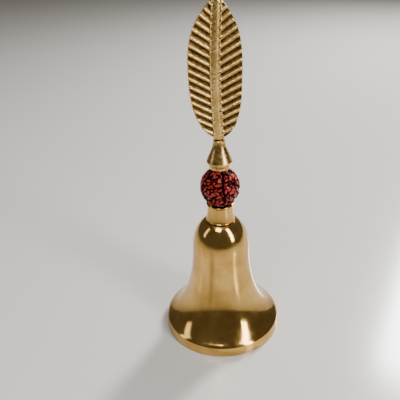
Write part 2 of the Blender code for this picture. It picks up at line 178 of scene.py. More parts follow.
# --- rudraksha bead -------------------------------------------------------------------------------
BEAD_HALF_HEIGHT = 10.2 * MM
BEAD_RINGS = 150
BEAD_STEPS = 320
SEED_DEPTH = 1.0 * MM
SEED_LOBES_PER_MM = 0.46
WANDER = 2.0                      # mm that the ridges stray
WANDERS_PER_MM = 0.25
BRIDGE_HEIGHT = 0.42              # how strongly ridges run together, in the cell pattern's distance
BRIDGES_PER_MM = 0.5
BRIDGE_OFFSET = Vector((1, 9, 4))
GROOVE = (0.03, 0.40)             # from groove to ridge, in the cell pattern's distance
DIMPLE_HEIGHT = 0.12
DIMPLES_PER_MM = 1.4
BORE_MARGIN = 0.05 * MM
BORE_FADE = 1.2 * MM              # the relief fades out toward the bore
SEAMS = 5
SEAM_TURN = math.radians(-78)
SEAM_SWAY = 0.06                  # radians
SEAM_SWAYS_PER_MM = 0.5
SEAM_WIDTH = (0.25, 0.75)         # mm off the seam's middle
DRIFT_OFFSETS = (Vector((7, 3, 1)), Vector((19, -4, 8)), Vector((-6, 12, 27)))

BELL_STEPS = 192
TURNED_STEPS = 128
CURVE_POINTS = 32
SHARP_ANGLE = math.radians(32)
CROSSWISE = math.radians(90)
SMALL_STEPS = 48
WIRE_SIDES = 32
RING_STEPS = 64
RING_WIRE_STEPS = 24
EDGE_STEPS = 8
DOUBLES = 0.001 * MM              # points nearer than this count as one

# --- materials ------------------------------------------------------------------------------------
TONE_SPAN = (0.35, 0.68)          # part of a noise's range that is stretched over a material's tones
POLISH_SPAN = (0.3, 0.72)
SMEAR_SHARE = 0.35                # size of the smears, as a share of the tone's patches
TOOL_STRETCH = (0.02, 0.02, 1.0)
FILE_STRETCH = (1.0, 1.0, 0.3)
GRAIN_SPAN = (0.3, 0.7)
# These also bound the leaf's hollows, painted dark nearer the middle plane: partly patina, partly painted
# shade.
RUB_UNEVEN = 0.14 * MM
RUB_START = BLADE_THICKNESS / 2 + 0.10 * MM   # off the middle plane, where the leaf begins to be rubbed
RUB_FULL = BLADE_THICKNESS / 2 + 0.50 * MM
HOLLOW_ROUGHNESS = 0.5

# --- floor, light and camera ----------------------------------------------------------------------
FLOOR_SIZE = 6
# name, azimuth and elevation in degrees, distance, width and height in metres, power in watts
SOFTBOXES = (("key_back_right", 146, 32, 1.10, 0.15, 0.40, 22.0),
             ("strip_right", 52, 32, 0.60, 0.12, 0.55, 3.4),
             ("top_left", -20, 60, 0.50, 0.20, 0.16, 1.2),
             ("fill_left", -80, 25, 0.70, 0.12, 0.40, 0.35),
             ("ceiling", 0, 90, 2.2, 2.4, 2.4, 6.0))
WORLD_STRENGTH = 0.36
CAMERA_PLACE = (0, -216.1 * MM, 195.4 * MM)
CAMERA_YAW = math.radians(-2.65)
CAMERA_DOWN = math.radians(29.05)
CAMERA_ROLL = math.radians(-2.31)


# === modelling helpers ============================================================================
def deselect():
    """Leave edit mode and deselect everything."""
    if bpy.context.object and bpy.context.object.mode != "OBJECT":
        bpy.ops.object.mode_set(mode="OBJECT")
    bpy.ops.object.select_all(action="DESELECT")


def take(piece):
    """Make one piece the only selected and active one."""
    deselect()
    piece.select_set(True)
    bpy.context.view_layer.objects.active = piece


def apply_place(piece):
    take(piece)
    bpy.ops.object.transform_apply(location=True, rotation=True, scale=True)


def apply_modifier(piece, kind, **settings):
    take(piece)
    modifier = piece.modifiers.new(kind.lower(), kind)
    for name, value in settings.items():
        setattr(modifier, name, value)
    bpy.ops.object.modifier_apply(modifier=modifier.name)


def round_edges(piece, width, segments):
    apply_modifier(piece, "BEVEL", width=width, segments=segments, limit_method="ANGLE",
                   angle_limit=SHARP_ANGLE, harden_normals=False)


def shade(piece):
    take(piece)
    bpy.ops.object.shade_smooth_by_angle(angle=SHARP_ANGLE)


def cubic(start, start_handle, end_handle, end, count=CURVE_POINTS):
    """Points along a cubic curve, without its first point."""
    points = []
    for step in range(1, count + 1):
        t = step / count
        weights = ((1 - t) ** 3, 3 * t * (1 - t) ** 2, 3 * t ** 2 * (1 - t), t ** 3)
        corners = (start, start_handle, end_handle, end)
        points.append(tuple(sum(w * c[axis] for w, c in zip(weights, corners)) for axis in (0, 1)))
    return points


def arc(centre, radii, start, end, count):
    """Points along a round or elliptical arc with both its ends; angles in degrees."""
    points = []
    for step in range(count + 1):
        angle = math.radians(start + (end - start) * step / count)
        points.append((centre[0] + radii[0] * math.cos(angle), centre[1] + radii[1] * math.sin(angle)))
    return points


def shoulder_curve(top, bottom):
    reach, drop = bottom[0] - top[0], top[1] - bottom[1]
    return cubic(top, (top[0] + SHOULDER_TOP[0] * reach, top[1] - SHOULDER_TOP[1] * drop),
                 (bottom[0] - SHOULDER_BOTTOM[0] * reach, bottom[1] + SHOULDER_BOTTOM[1] * drop), bottom)


def flare_curve(top, bottom):
    reach, drop = bottom[0] - top[0], top[1] - bottom[1]
    return cubic(top, (top[0] + FLARE_TOP[0] * reach, top[1] - FLARE_TOP[1] * drop),
                 (top[0] + FLARE_BOTTOM[0] * reach, bottom[1] + FLARE_BOTTOM[1] * drop), bottom)


def drawn_path(name, points):
    """Draw a line through points by extruding one vertex; left in edit mode."""
    deselect()
    bpy.ops.mesh.primitive_plane_add(size=MM, location=ORIGIN)
    piece = bpy.context.object
    piece.name = piece.data.name = name
    bpy.ops.object.mode_set(mode="EDIT")
    bpy.ops.mesh.merge(type="CENTER")
    bpy.ops.transform.translate(value=points[0])
    for here, there in zip(points, points[1:]):
        step = [end - start for start, end in zip(here, there)]
        bpy.ops.mesh.extrude_region_move(TRANSFORM_OT_translate={"value": step})
    bpy.ops.mesh.select_all(action="SELECT")
    return piece


def drawn_face(name, points):
    piece = drawn_path(name, points)
    bpy.ops.mesh.edge_face_add()
    bpy.ops.object.mode_set(mode="OBJECT")
    return piece


def drawn_bar(name, points, push):
    """Closed bar: a drawn face pushed out along a direction."""
    piece = drawn_face(name, points)
    bpy.ops.object.mode_set(mode="EDIT")
    bpy.ops.mesh.select_all(action="SELECT")
    bpy.ops.mesh.extrude_region_move(TRANSFORM_OT_translate={"value": push})
    bpy.ops.mesh.select_all(action="SELECT")
    bpy.ops.mesh.normals_make_consistent(inside=False)
    bpy.ops.object.mode_set(mode="OBJECT")
    return piece


def turn(name, outline, steps):
    """Spin an outline of (radius, height) points round the Z axis."""
    piece = drawn_path(name, [(radius, 0, height) for radius, height in outline])
    bpy.ops.mesh.spin(steps=steps, angle=math.tau, center=ORIGIN, axis=(0, 0, 1))
    bpy.ops.mesh.select_all(action="SELECT")
    bpy.ops.mesh.remove_doubles(threshold=DOUBLES)
    bpy.ops.mesh.normals_make_consistent(inside=False)
    bpy.ops.object.mode_set(mode="OBJECT")
    return piece


def bar(name, radius, bottom, top, sides):
    deselect()
    bpy.ops.mesh.primitive_cylinder_add(vertices=sides, radius=radius, depth=top - bottom,
                                        location=(0, 0, (bottom + top) / 2))
    piece = bpy.context.object
    piece.name = piece.data.name = name
    apply_place(piece)
    return piece


def wire_ring(name, ring_radius, wire_radius, height, turned=0.0):
    """Ring standing upright: in the XZ plane, or turned about Z."""
    deselect()
    bpy.ops.mesh.primitive_torus_add(major_radius=ring_radius, minor_radius=wire_radius,
                                     major_segments=RING_STEPS, minor_segments=RING_WIRE_STEPS,
                                     location=(0, 0, height), rotation=(CROSSWISE, 0, turned))
    piece = bpy.context.object
    piece.name = piece.data.name = name
    apply_place(piece)
    return piece


def weld_on(piece, other, operation="UNION"):
    """Join or cut with another piece, which is used up."""
    apply_modifier(piece, "BOOLEAN", operation=operation, solver="EXACT", object=other)
    spent = other.data
    bpy.data.objects.remove(other)
    bpy.data.meshes.remove(spent)


def finish_piece(piece, material, body, node):
    piece.data.materials.clear()
    piece.data.materials.append(material)
    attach(piece, body)
    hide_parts(node)


# === material helpers =============================================================================
def colour(hex_code):
    """sRGB hex to linear red, green, blue, alpha."""
    channels = [int(hex_code[place:place + 2], 16) / 255 for place in (1, 3, 5)]
    linear = [c / 12.92 if c <= 0.04045 else ((c + 0.055) / 1.055) ** 2.4 for c in channels]
    return (*linear, 1.0)


def per(size):
    """Noise scale whose blotches are about one size across."""
    return 1 / size


def new_material(name, **shader_inputs):
    material = bpy.data.materials.new(name)
    material.use_nodes = True
    tree = material.node_tree
    shader = tree.nodes["Principled BSDF"]
    for socket, value in shader_inputs.items():
        shader.inputs[socket.replace("_", " ")].default_value = value
    return material, tree, shader


def add(tree, kind, inputs, output, **settings):
    """Add a node and give back one of its outputs; an input is a value or the output that feeds it."""
    made = tree.nodes.new(kind)
    for name, value in settings.items():
        setattr(made, name, value)
    for name, value in inputs.items():
        if isinstance(value, bpy.types.NodeSocket):
            tree.links.new(value, made.inputs[name])
        else:
            made.inputs[name].default_value = value
    return made.outputs[output]


def join_up(tree, shader, **outputs):
    """Link outputs to the shader's inputs of the same names."""
    for socket, output in outputs.items():
        tree.links.new(output, shader.inputs[socket.replace("_", " ")])


def ranges(low, high, out_low, out_high):
    """Inputs that stretch a value from one range to another, kept inside it."""
    return {"From Min": low, "From Max": high, "To Min": out_low, "To Max": out_high}


# === turned brass =================================================================================
def make_bell():
    """Bell wall with its flare, shoulder, crown and the band round its mouth."""
    lip, top = bell_high.x, bell_high.z
    waist_top = top - SHOULDER_HEIGHT
    crown_under = top - CROWN_THICKNESS
    band_foot = lip - BAND_DRAFT + BAND_STEP
    outline = [(HOLE_RADIUS, top), (SEAT_RADIUS, top)]
    outline += shoulder_curve((SEAT_RADIUS, top), (WAIST_RADIUS, waist_top))
    outline += flare_curve((WAIST_RADIUS, waist_top), (lip - BAND_DRAFT, BAND_HEIGHT + BAND_STEP))
    outline += [(band_foot - BAND_STEP / 4, BAND_HEIGHT), (band_foot, BAND_HEIGHT - BAND_STEP / 4)]
    outline += arc((lip - LIP_EDGE_RADIUS, LIP_EDGE_RADIUS), (LIP_EDGE_RADIUS, LIP_EDGE_RADIUS), 0, -90,
                   EDGE_STEPS)
    inner_lip = lip - LIP_THICKNESS
    outline += arc((inner_lip + LIP_EDGE_RADIUS, LIP_EDGE_RADIUS), (LIP_EDGE_RADIUS, LIP_EDGE_RADIUS),
                   -90, -180, EDGE_STEPS)
    waist_inside = WAIST_RADIUS - WAIST_WALL
    inside = [(HOLE_RADIUS, crown_under), (CROWN_FLAT_RADIUS, crown_under)]
    inside += shoulder_curve((CROWN_FLAT_RADIUS, crown_under), (waist_inside, waist_top))
    inside += flare_curve((waist_inside, waist_top), (inner_lip, LIP_EDGE_RADIUS))[:-1]
    outline += reversed(inside)
    outline.append(outline[0])
    bell = turn("Turned_Bell", outline, BELL_STEPS)
    shade(bell)
    finish_piece(bell, polished_turned_brass, "bell", "bell_body")
    bell.data.materials.append(unpolished_inside_brass)
    for face in bell.data.polygons:
        facing_in = face.normal.x * face.center.x + face.normal.y * face.center.y < 0
        under_crown = face.normal.z < 0 and face.center.z > top / 2
        if facing_in or under_crown:
            face.material_index = 1


def make_collar():
    """Collar between the bell and the bead, with a shallow cup for the bead on top."""
    foot, bottom, top = collar_high.x, collar_low.z, collar_high.z
    cup_inside = CUP_RADIUS - CUP_WALL
    lip_centre = (CUP_RADIUS - CUP_WALL / 2, top - CUP_WALL / 2)
    foot_top = bottom + COLLAR_FOOT_HEIGHT
    neck = (COLLAR_NECK_RADIUS, top - 2 * CUP_LIP_HEIGHT)
    outline = [(HOLE_RADIUS, bottom)]
    outline += arc((foot - LIP_EDGE_RADIUS / 2, bottom + LIP_EDGE_RADIUS / 2),
                   (LIP_EDGE_RADIUS / 2, LIP_EDGE_RADIUS / 2), -90, 60, EDGE_STEPS)
    flare, rise = foot - COLLAR_NECK_RADIUS, neck[1] - foot_top
    outline += cubic((foot - LIP_EDGE_RADIUS / 4, foot_top),
                     (COLLAR_NECK_RADIUS + COLLAR_FOOT_HANDLE[0] * flare,
                      foot_top + COLLAR_FOOT_HANDLE[1] * rise),
                     (COLLAR_NECK_RADIUS, neck[1] - COLLAR_NECK_HANDLE * rise), neck)
    outline += arc(lip_centre, (CUP_WALL / 2, CUP_WALL / 2), -60, 180, 12)
    outline += [(cup_inside - CUP_CHAMFER, top - CUP_LIP_HEIGHT), (cup_inside - CUP_DEPTH, top - CUP_DEPTH),
                (HOLE_RADIUS, top - CUP_DEPTH), (HOLE_RADIUS, bottom)]
    collar = turn("Neck_Collar", outline, TURNED_STEPS)
    shade(collar)
    finish_piece(collar, polished_turned_brass, "bell", "neck_collar")


def make_ferrule():
    """Tapered ferrule that carries the leaf, with a belly filed to a ridge and a bored foot for the bolt."""
    bottom, top, belly = ferrule_low.z, ferrule_high.z, ferrule_high.x
    belly_height = bottom + FERRULE_BELLY_RISE
    taper = top - belly_height
    swell = belly - FERRULE_TOP_RADIUS
    under = belly - FERRULE_BASE_RADIUS
    bore = BOLT_RADIUS + BOLT_SLACK
    thread_top = bottom + THREAD_DEPTH
    outline = [(0, top - SOCKET_DEPTH), (SOCKET_RADIUS, top - SOCKET_DEPTH), (SOCKET_RADIUS, top),
               (FERRULE_TOP_RADIUS - FILED_EDGE, top), (FERRULE_TOP_RADIUS, top - FILED_EDGE)]
    outline += cubic((FERRULE_TOP_RADIUS, top - FILED_EDGE), (FERRULE_TOP_RADIUS, top - taper / 3),
                     (belly - FILED_EDGE - swell / 3, belly_height + taper / 3),
                     (belly - FILED_EDGE / 2, belly_height + FILED_EDGE))
    outline += arc((belly - FILED_EDGE, belly_height), (FILED_EDGE, FILED_EDGE), 40, -40, 5)
    outline += cubic((belly - FILED_EDGE / 2, belly_height - FILED_EDGE),
                     (belly - under / 4, belly_height - FERRULE_BELLY_RISE / 3),
                     (FERRULE_BASE_RADIUS, bottom + FERRULE_BELLY_RISE / 3),
                     (FERRULE_BASE_RADIUS, bottom + FILED_EDGE))
    outline += [(FERRULE_BASE_RADIUS - FILED_EDGE, bottom), (bore, bottom),
                (bore, thread_top), (0, thread_top)]
    ferrule = turn("Leaf_Ferrule", outline, TURNED_STEPS)
    shade(ferrule)
    finish_piece(ferrule, hand_filed_brass, "bell", "taper_ferrule")


def make_bob():
    """Clapper's bob: a turned ball with a neck above and a small tail below, bored for its stem."""
    low, high = bob_low.z, bob_high.z
    centre = low + BOB_TAIL_DROP + BOB_RADIUS
    outline = [(BOB_BORE_RADIUS, high), (BOB_NECK_RADIUS - FILED_EDGE, high),
               (BOB_NECK_RADIUS, high - FILED_EDGE)]
    outline += cubic((BOB_NECK_RADIUS, high - FILED_EDGE),
                     (BOB_NECK_RADIUS, centre + BOB_NECK_HANDLE * BOB_RADIUS),
                     (BOB_SHOULDER_HANDLE[0] * BOB_RADIUS, centre + BOB_SHOULDER_HANDLE[1] * BOB_RADIUS),
                     (BOB_SHOULDER[0] * BOB_RADIUS, centre + BOB_SHOULDER[1] * BOB_RADIUS), 16)
    tail = math.degrees(math.acos(BOB_TAIL_RADIUS / BOB_RADIUS))
    outline += arc((0, centre), (BOB_RADIUS, BOB_RADIUS), BOB_SHOULDER_ANGLE, -tail, 40)[1:]
    outline += [(BOB_TAIL_RADIUS, low + FILED_EDGE), (BOB_TAIL_RADIUS - FILED_EDGE, low), (0, low)]
    floor = high - BOB_BORE_DEPTH
    outline = [(0, floor), (BOB_BORE_RADIUS, floor)] + outline
    bob = turn("Clapper_Bob", outline, TURNED_STEPS)
    shade(bob)
    finish_piece(bob, hand_filed_brass, "clapper", "clapper_bob")


# === steel and wire inside the bell ===============================================================
def make_washer():
    outer, bottom, top = washer_high.x, washer_low.z, washer_high.z
    edge = FILED_EDGE
    outline = [(HOLE_RADIUS, top), (outer - edge, top), (outer, top - edge), (outer, bottom + edge),
               (outer - edge, bottom), (HOLE_RADIUS, bottom), (HOLE_RADIUS, top)]
    washer = turn("Bell_Washer", outline, TURNED_STEPS)
    shade(washer)
    finish_piece(washer, zinc_plated_steel, "bell", "crown_washer")


def make_nut():
    """Hexagon nut with chamfered corners."""
    bottom, top = nut_low.z, nut_high.z
    across_corners = max(nut_high.x, nut_high.y)
    nut = bar("Bell_Nut", across_corners, bottom, top, 6)
    if nut_high.y > nut_high.x:
        nut.rotation_euler.z = HEXAGON_TURN
        apply_place(nut)
    cone_end = across_corners - NUT_CHAMFER - MM
    cone = [(0, bottom - MM), (cone_end, bottom - MM), (across_corners + MM, bottom + MM),
            (across_corners + MM, top - MM), (cone_end, top + MM), (0, top + MM)]
    weld_on(nut, turn("nut_chamfer", cone, TURNED_STEPS), "INTERSECT")
    bore = bar("nut_bore", BOLT_RADIUS + BOLT_SLACK, bottom - MM, top + MM, SMALL_STEPS)
    weld_on(nut, bore, "DIFFERENCE")
    round_edges(nut, NUT_EDGE_RADIUS, 2)
    shade(nut)
    finish_piece(nut, zinc_plated_steel, "bell", "crown_nut")


def make_eye_bolt():
    """Bolt with a round eye below; its thread is drawn as closed rings, one to a pitch."""
    eye_centre = bolt_low.z + EYE_RING_RADIUS + EYE_WIRE_RADIUS
    shank_foot = eye_centre + EYE_RING_RADIUS
    outline = [(0, shank_foot), (BOLT_RADIUS - THREAD_CUT, shank_foot)]
    turns = int((bolt_high.z - shank_foot) / THREAD_PITCH) - 1
    for number in range(turns):
        foot = shank_foot + (number + THREAD_START) * THREAD_PITCH
        outline.append((BOLT_RADIUS - THREAD_CUT, foot))
        outline += [(BOLT_RADIUS, foot + share * THREAD_PITCH) for share in THREAD_CREST]
    outline += [(BOLT_RADIUS - THREAD_CUT, bolt_high.z - THREAD_CUT),
                (BOLT_RADIUS - 2 * THREAD_CUT, bolt_high.z), (0, bolt_high.z)]
    bolt = turn("Eye_Bolt", outline, SMALL_STEPS)
    weld_on(bolt, wire_ring("eye", EYE_RING_RADIUS, EYE_WIRE_RADIUS, eye_centre))
    shade(bolt)
    finish_piece(bolt, zinc_plated_steel, "bell", "eye_bolt")


def make_link():
    """Oval wire link: a ring cut level through its middle and drawn apart into straight legs."""
    middle = (link_low.z + link_high.z) / 2
    leg = (link_high.z - link_low.z) / 2 - LINK_RING_RADIUS - LINK_WIRE_RADIUS
    link = wire_ring("Clapper_Link", LINK_RING_RADIUS, LINK_WIRE_RADIUS, middle, CROSSWISE)
    take(link)
    bpy.ops.object.mode_set(mode="EDIT")
    bpy.ops.mesh.select_all(action="SELECT")
    bpy.ops.mesh.bisect(plane_co=(0, 0, middle), plane_no=(0, 0, 1))
    bpy.ops.object.mode_set(mode="OBJECT")
    for vertex in link.data.vertices:
        rise = vertex.co.z - middle
        if abs(rise) > DOUBLES:
            vertex.co.z += math.copysign(leg, rise)
    shade(link)
    finish_piece(link, drawn_brass_wire, "link", "clapper_link")


def make_stem():
    """Straight wire with a ring bent at its top."""
    ring_height = stem_high.z - STEM_RING_RADIUS - STEM_RADIUS
    stem_top = ring_height - STEM_RING_RADIUS + STEM_RADIUS / 2
    stem = bar("Clapper_Stem", STEM_RADIUS, stem_low.z, stem_top, WIRE_SIDES)
    weld_on(stem, wire_ring("stem_ring", STEM_RING_RADIUS, STEM_RADIUS, ring_height))
    shade(stem)
    finish_piece(stem, drawn_brass_wire, "clapper", "clapper_stem")


# === rudraksha bead ===============================================================================
def make_bead():
    """Rudraksha seed: five seams from pole to pole, and between them knobbly, winding ridges."""
    centre = (bead_low.z + bead_high.z) / 2
    bore_angle = math.degrees(math.acos(HOLE_RADIUS / bead_high.x))
    outline = arc((0, centre), (bead_high.x, BEAD_HALF_HEIGHT), -bore_angle, bore_angle, BEAD_RINGS)
    outline += [(HOLE_RADIUS, outline[0][1]), outline[0]]
    bead = turn("Rudraksha_Bead", outline, BEAD_STEPS)
    heights = bead.data.attributes.new("ridge_height", "FLOAT", "POINT")
    for vertex, height in zip(bead.data.vertices, heights.data):
        place = Vector((vertex.co.x, vertex.co.y, vertex.co.z - centre))
        if place.xy.length < HOLE_RADIUS + BORE_MARGIN:
            height.value = 0
            continue
        relief = seed_relief(place)
        height.value = relief
        fade = min(1, (place.xy.length - HOLE_RADIUS) / BORE_FADE)
        vertex.co -= place.normalized() * SEED_DEPTH * (1 - relief) * fade
    shade(bead)
    finish_piece(bead, rudraksha_seed, "bell", "rudraksha_bead")


def seed_relief(place):
    """How far the seed's skin stands out at a place, from 0 in the seams to 1 on the ridges."""
    point = place / MM
    wander = WANDER * drift(point * WANDERS_PER_MM)
    lobes = noise.voronoi((point + wander) * SEED_LOBES_PER_MM)[0]
    bridged = BRIDGE_HEIGHT * max(0.0, noise.noise(point * BRIDGES_PER_MM + BRIDGE_OFFSET))
    lobe = smooth_step(*GROOVE, lobes[1] - lobes[0] + bridged)
    dimple = DIMPLE_HEIGHT * noise.noise(point * DIMPLES_PER_MM)
    sway = SEAM_SWAY * math.sin(point.z * SEAM_SWAYS_PER_MM)
    turned = math.atan2(place.y, place.x) - SEAM_TURN + sway
    sector = math.tau / SEAMS
    off_seam = abs((turned + sector / 2) % sector - sector / 2) * place.xy.length / MM
    seam = smooth_step(*SEAM_WIDTH, off_seam)
    return max(0.0, min(1.0, lobe + dimple)) * seam


def drift(point):
    """Smoothly changing sideways push, different in each direction."""
    return Vector([noise.noise(point + offset) for offset in DRIFT_OFFSETS])


def smooth_step(low, high, value):
    share = max(0.0, min(1.0, (value - low) / (high - low)))
    return share * share * (3 - 2 * share)


# === cast leaf ====================================================================================
def leaf_bow_at(height):
    """Sideways bow of the leaf at a height."""
    share = (height - leaf_foot) / (leaf_high.z - leaf_foot)
    return -LEAF_BOW * math.sin(math.pi * share)


def leaf_side(side, inset=0.0):
    """Outline of one side of the blade from foot to tip; side is -1 or 1."""
    foot, widest, tip = leaf_foot + BLADE_START + inset, leaf_foot + LEAF_WIDEST, leaf_high.z - inset
    half = LEAF_HALF_WIDTH - inset
    lower, upper, bow = widest - foot, tip - widest, leaf_bow_at(widest)
    edge = bow + side * half
    points = cubic((0, foot), (side * FOOT_SWELL * half, foot + FOOT_RISE * lower),
                   (edge, widest - LOWER_FULLNESS * lower), (edge, widest), LOWER_POINTS)
    points += cubic((edge, widest), (edge, widest + UPPER_FULLNESS * upper),
                    (bow + side * TIP_SWELL * half, tip - TIP_DROP * upper), (0, tip), UPPER_POINTS)
    return points


def filled_plate(name, outline, thickness):
    """Flat plate in the XZ plane, as thick as asked, from a closed outline."""
    points = [(across, -thickness / 2, height) for across, height in outline]
    return drawn_bar(name, points, (0, thickness, 0))


def make_blade():
    """Blade with a raised border: a plate as thick as its border, sunk inside on both faces."""
    outline = leaf_side(1) + list(reversed(leaf_side(-1)))[1:]
    blade = filled_plate("leaf_blade", outline + [(0, leaf_foot + BLADE_START)], 2 * EDGE_RADIUS)
    take(blade)
    bpy.ops.object.mode_set(mode="EDIT")
    bpy.context.tool_settings.mesh_select_mode = (False, False, True)
    sunk = EDGE_RADIUS - BLADE_THICKNESS / 2
    for face_y, step in ((-EDGE_RADIUS, sunk), (EDGE_RADIUS, -sunk)):
        bpy.ops.mesh.select_all(action="DESELECT")
        bpy.ops.object.mode_set(mode="OBJECT")
        for face in blade.data.polygons:
            face.select = abs(face.normal.y) > 0.9 and abs(face.center.y - face_y) < FACE_TOLERANCE
        bpy.ops.object.mode_set(mode="EDIT")
        bpy.ops.mesh.inset(thickness=BORDER_WIDTH)
        bpy.ops.transform.translate(value=(0, step, 0))
    bpy.context.tool_settings.mesh_select_mode = (True, False, False)
    bpy.ops.object.mode_set(mode="OBJECT")
    return blade


def make_leaf_midrib():
    """Bar up the middle, grooved along its sides, drawn along the bow and rounded off at the tip."""
    bottom, top = leaf_foot, leaf_high.z
    quarter = [(across * MM, -height * MM) for across, height in MIDRIB_SECTION]
    half = quarter + [(-across, height) for across, height in reversed(quarter[:-1])]
    section = half + [(across, -height) for across, height in reversed(half[1:-1])]
    section = [(MIDRIB_FOOT_SIZE * across, MIDRIB_FOOT_SIZE * height) for across, height in section]
    midrib = drawn_face("leaf_midrib", [(across, height, bottom) for across, height in section])
    bpy.ops.object.mode_set(mode="EDIT")
    bpy.ops.mesh.select_all(action="SELECT")
    stations = [(MIDRIB_FOOT_RISE, 1.0)]
    stations += [(step / MIDRIB_STATIONS * (top - bottom), 1.0) for step in range(1, MIDRIB_STATIONS - 1)]
    stations += [(top - bottom - rest * MM, size) for rest, size in MIDRIB_TIP]
    height, size, bow = bottom, MIDRIB_FOOT_SIZE, 0.0
    for rise, new_size in stations:
        new_height = bottom + rise
        new_bow = leaf_bow_at(new_height)
        bpy.ops.mesh.extrude_region_move(TRANSFORM_OT_translate={
            "value": (new_bow - bow, 0, new_height - height)})
        bpy.ops.transform.resize(value=(new_size / size, new_size / size, 1),
                                 center_override=(new_bow, 0, new_height))
        height, size, bow = new_height, new_size, new_bow
    bpy.ops.mesh.select_all(action="SELECT")
    bpy.ops.mesh.normals_make_consistent(inside=False)
    bpy.ops.object.mode_set(mode="OBJECT")
    return midrib


def make_vein():
    """One vein, a bar along +X, steep below its crest and easing off above, on both faces of the blade."""
    plate = BLADE_THICKNESS / 2 - VEIN_ROOT
    rise = VEIN_CREST - plate
    front = [(across * MM, -(plate + share * rise)) for across, share in VEIN_SECTION]
    section = front + [(across, -height) for across, height in reversed(front)]
    points = [(0, height, across) for across, height in section]
    return drawn_bar("leaf_vein", points, (VEIN_LENGTH, 0, 0))


def vein_slope_at(height):
    """Climb of a vein that leaves the midrib at this height, steeper toward the tip, in radians."""
    share = (height - leaf_foot) / (leaf_high.z - leaf_foot)
    return math.radians(VEIN_SLOPE + VEIN_SLOPE_GAIN * share + VEIN_TIP_GAIN * share ** VEIN_TIP_POWER)


def make_veins():
    vein = make_vein()
    copies = []
    for pair in range(VEIN_PAIRS):
        height = leaf_foot + FIRST_VEIN + pair * VEIN_SPACING
        slope = vein_slope_at(height)
        for side in (-1, 1):
            copy = vein.copy()
            copy.data = vein.data.copy()
            bpy.context.collection.objects.link(copy)
            copy.location = (leaf_bow_at(height), 0, height + (side + 1) * VEIN_STAGGER)
            copy.rotation_euler = (0, -slope, 0 if side > 0 else math.pi)
            apply_place(copy)
            copies.append(copy)
    spent = vein.data
    bpy.data.objects.remove(vein)
    bpy.data.meshes.remove(spent)
    return copies


def make_leaf():
    """Cast leaf: blade, midrib, veins and tang run together, worn soft, and slightly uneven as cast."""
    outline = leaf_side(1, VEIN_INSET) + list(reversed(leaf_side(-1, VEIN_INSET)))[1:]
    trim = filled_plate("vein_trim", outline + [(0, leaf_foot + BLADE_START + VEIN_INSET)], 4 * VEIN_CREST)
    leaf = make_blade()
    veins = make_veins()
    for vein in veins:
        apply_modifier(vein, "BOOLEAN", operation="INTERSECT", solver="EXACT", object=trim)
    bpy.data.objects.remove(trim)
    tang = bar("leaf_tang", TANG_RADIUS, leaf_low.z, leaf_foot + TANG_OVERLAP, SMALL_STEPS)
    midrib = make_leaf_midrib()
    take(leaf)
    for part in [*veins, tang, midrib]:
        part.select_set(True)
    bpy.ops.object.join()
    leaf.name = leaf.data.name = "Leaf_Handle"
    apply_modifier(leaf, "REMESH", mode="VOXEL", voxel_size=CAST_GRAIN)
    apply_modifier(leaf, "SMOOTH", factor=0.5, iterations=2)
    for vertex in leaf.data.vertices:
        point = vertex.co / MM
        if vertex.co.z > leaf_foot:
            uneven = sum(depth * noise.noise(point * waves) for depth, waves in CAST_WAVES)
            vertex.co.y += math.copysign(uneven * MM, vertex.co.y)
            vertex.co.x += CAST_SWAY * noise.noise(point * CAST_SWAYS_PER_MM + CAST_SWAY_OFFSET)
    shade(leaf)
    finish_piece(leaf, cast_leaf_brass, "bell", "leaf_handle")


# === materials ====================================================================================
Metal = namedtuple("Metal", "material tree shader where patches tone polish")


def metal(name, bright, dark, dark_share, roughness, wear_size):
    """Worn metal: bright and dark tones in soft patches, and an uneven polish."""
    material, tree, shader = new_material(name, Metallic=1.0)
    where = add(tree, "ShaderNodeTexCoord", {}, "Object")
    patches = add(tree, "ShaderNodeTexNoise",
                  {"Vector": where, "Scale": per(wear_size), "Detail": 4.0, "Roughness": 0.6}, "Fac")
    worn = add(tree, "ShaderNodeMapRange",
               {"Value": patches, **ranges(*TONE_SPAN, 0.0, dark_share)}, "Result")
    tone = add(tree, "ShaderNodeMix", {0: worn, 6: colour(bright), 7: colour(dark)}, 2, data_type="RGBA")
    smears = add(tree, "ShaderNodeTexNoise", {"Vector": where, "Scale": per(SMEAR_SHARE * wear_size),
                                              "Detail": 6.0, "Roughness": 0.65}, "Fac")
    polish = add(tree, "ShaderNodeMapRange",
                 {"Value": smears, **ranges(*POLISH_SPAN, *roughness)}, "Result")
    return Metal(material, tree, shader, where, patches, tone, polish)


def with_relief(worn, height, depth):
    """Join a worn metal's tone and polish to its shader, with a shallow relief."""
    normal = add(worn.tree, "ShaderNodeBump",
                 {"Height": height, "Distance": depth, "Strength": 1.0}, "Normal")
    join_up(worn.tree, worn.shader, Base_Color=worn.tone, Roughness=worn.polish, Normal=normal)
    return worn.material


def turning_lines(tree, where):
    """Fine rings left by the turning tool and the polishing mop, almost by height alone."""
    rings = add(tree, "ShaderNodeMapping", {"Vector": where, "Scale": TOOL_STRETCH}, "Vector")
    return add(tree, "ShaderNodeTexNoise",
               {"Vector": rings, "Scale": per(0.9 * MM), "Detail": 5.0, "Roughness": 0.7}, "Fac")


def make_polished_turned_brass():
    """Yellow brass turned on a lathe and mopped bright, with faint tool rings and handling smudges."""
    brass = metal("polished_turned_brass", "#E0B86A", "#B58640", 0.8, (0.06, 0.17), 14 * MM)
    return with_relief(brass, turning_lines(brass.tree, brass.where), 0.012 * MM)


def make_unpolished_inside_brass():
    """Inside of the bell: turned on the lathe, never mopped, and darkened with age."""
    brass = metal("unpolished_inside_brass", "#B58A48", "#6E4A22", 0.9, (0.3, 0.5), 7 * MM)
    return with_relief(brass, turning_lines(brass.tree, brass.where), 0.05 * MM)


